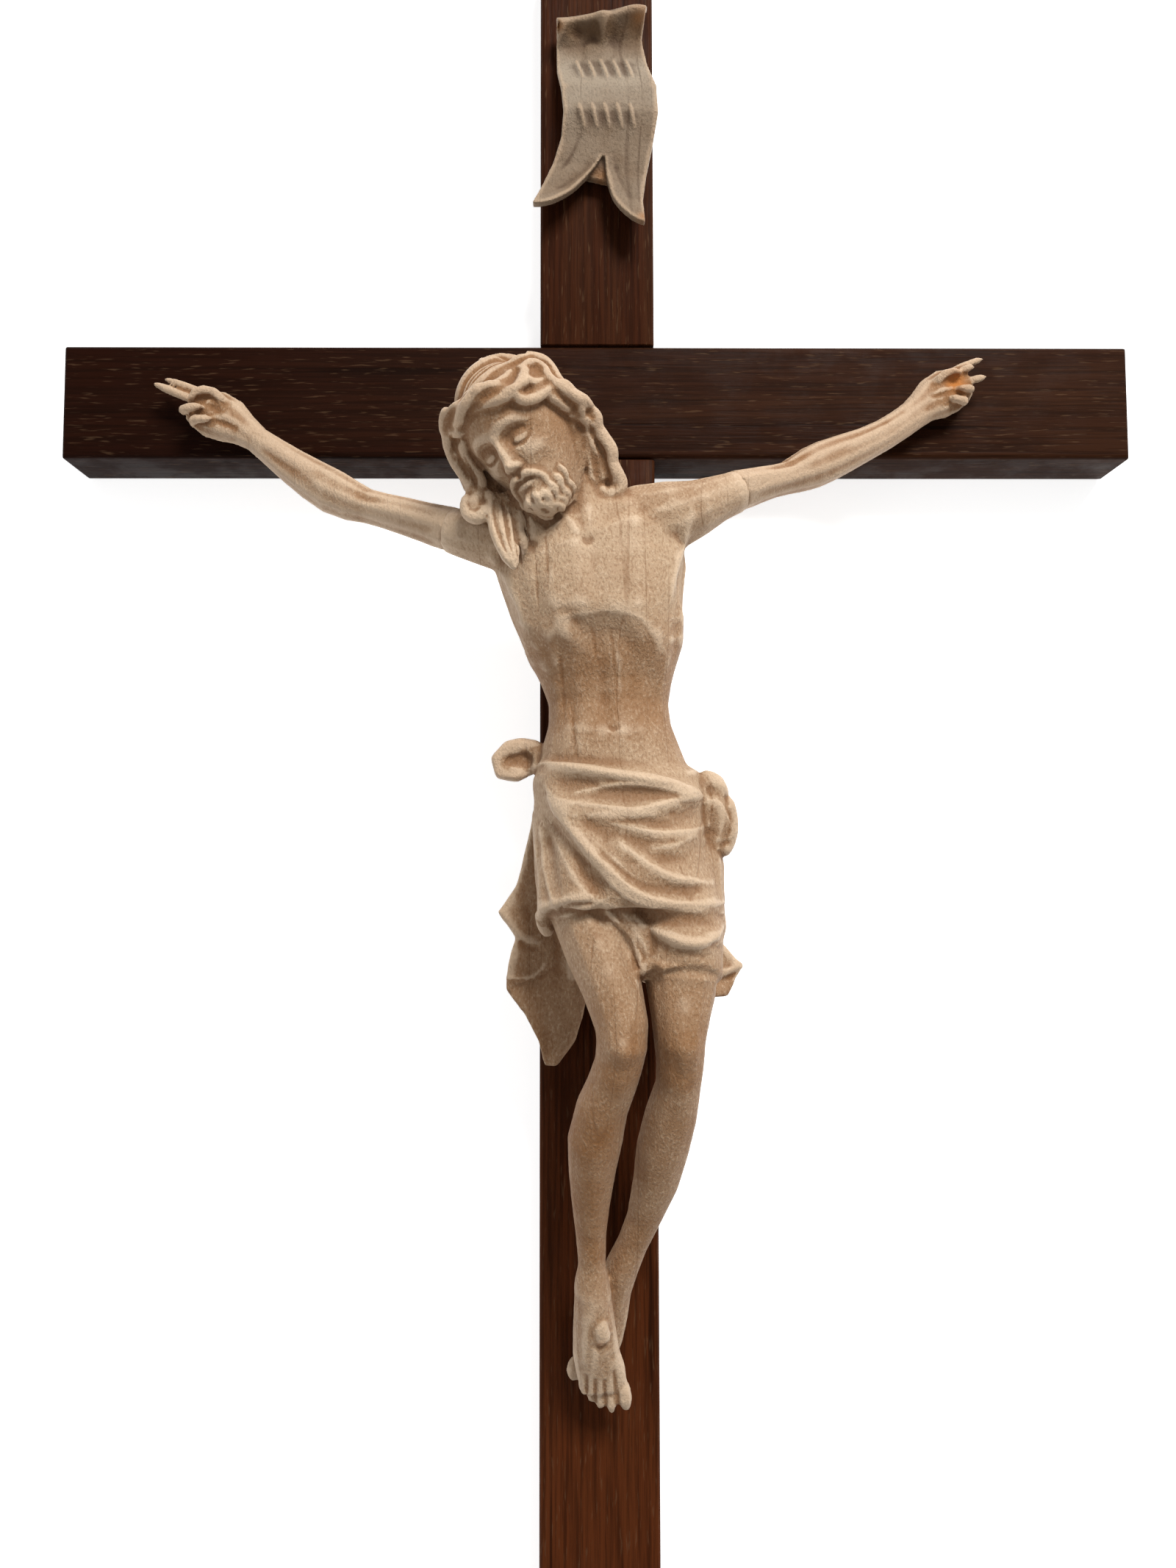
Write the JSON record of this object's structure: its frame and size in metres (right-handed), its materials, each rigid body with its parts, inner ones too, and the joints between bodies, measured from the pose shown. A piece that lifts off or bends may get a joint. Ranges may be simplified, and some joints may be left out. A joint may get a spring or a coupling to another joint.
{
  "type": "table crucifix",
  "caption": "Wooden crucifix lying on its back: a dark half-lapped cross with a pale carved corpus, loincloth in folds, crossed feet and a swallow-tailed scroll.",
  "frame": {"origin": "middle of the cross's flat back, which lies on the surface", "axes": "+X towards the figure's left hand, +Y up the upright towards the scroll, +Z out of the front of the cross"},
  "size_m": [0.224, 0.4, 0.0571],
  "materials": {
    "dark_wood": "dark walnut-brown stain, satin, fine straight grain",
    "pale_wood": "pale tan carving wood, matte, paler on its ridges and browner in its hollows"
  },
  "bodies": {
    "root": {"upright_bar": "dark_wood", "crossbar": "dark_wood", "corpus_body": "pale_wood", "right_arm": "pale_wood", "left_arm": "pale_wood", "title_scroll": "pale_wood"}
  },
  "joints": []
}
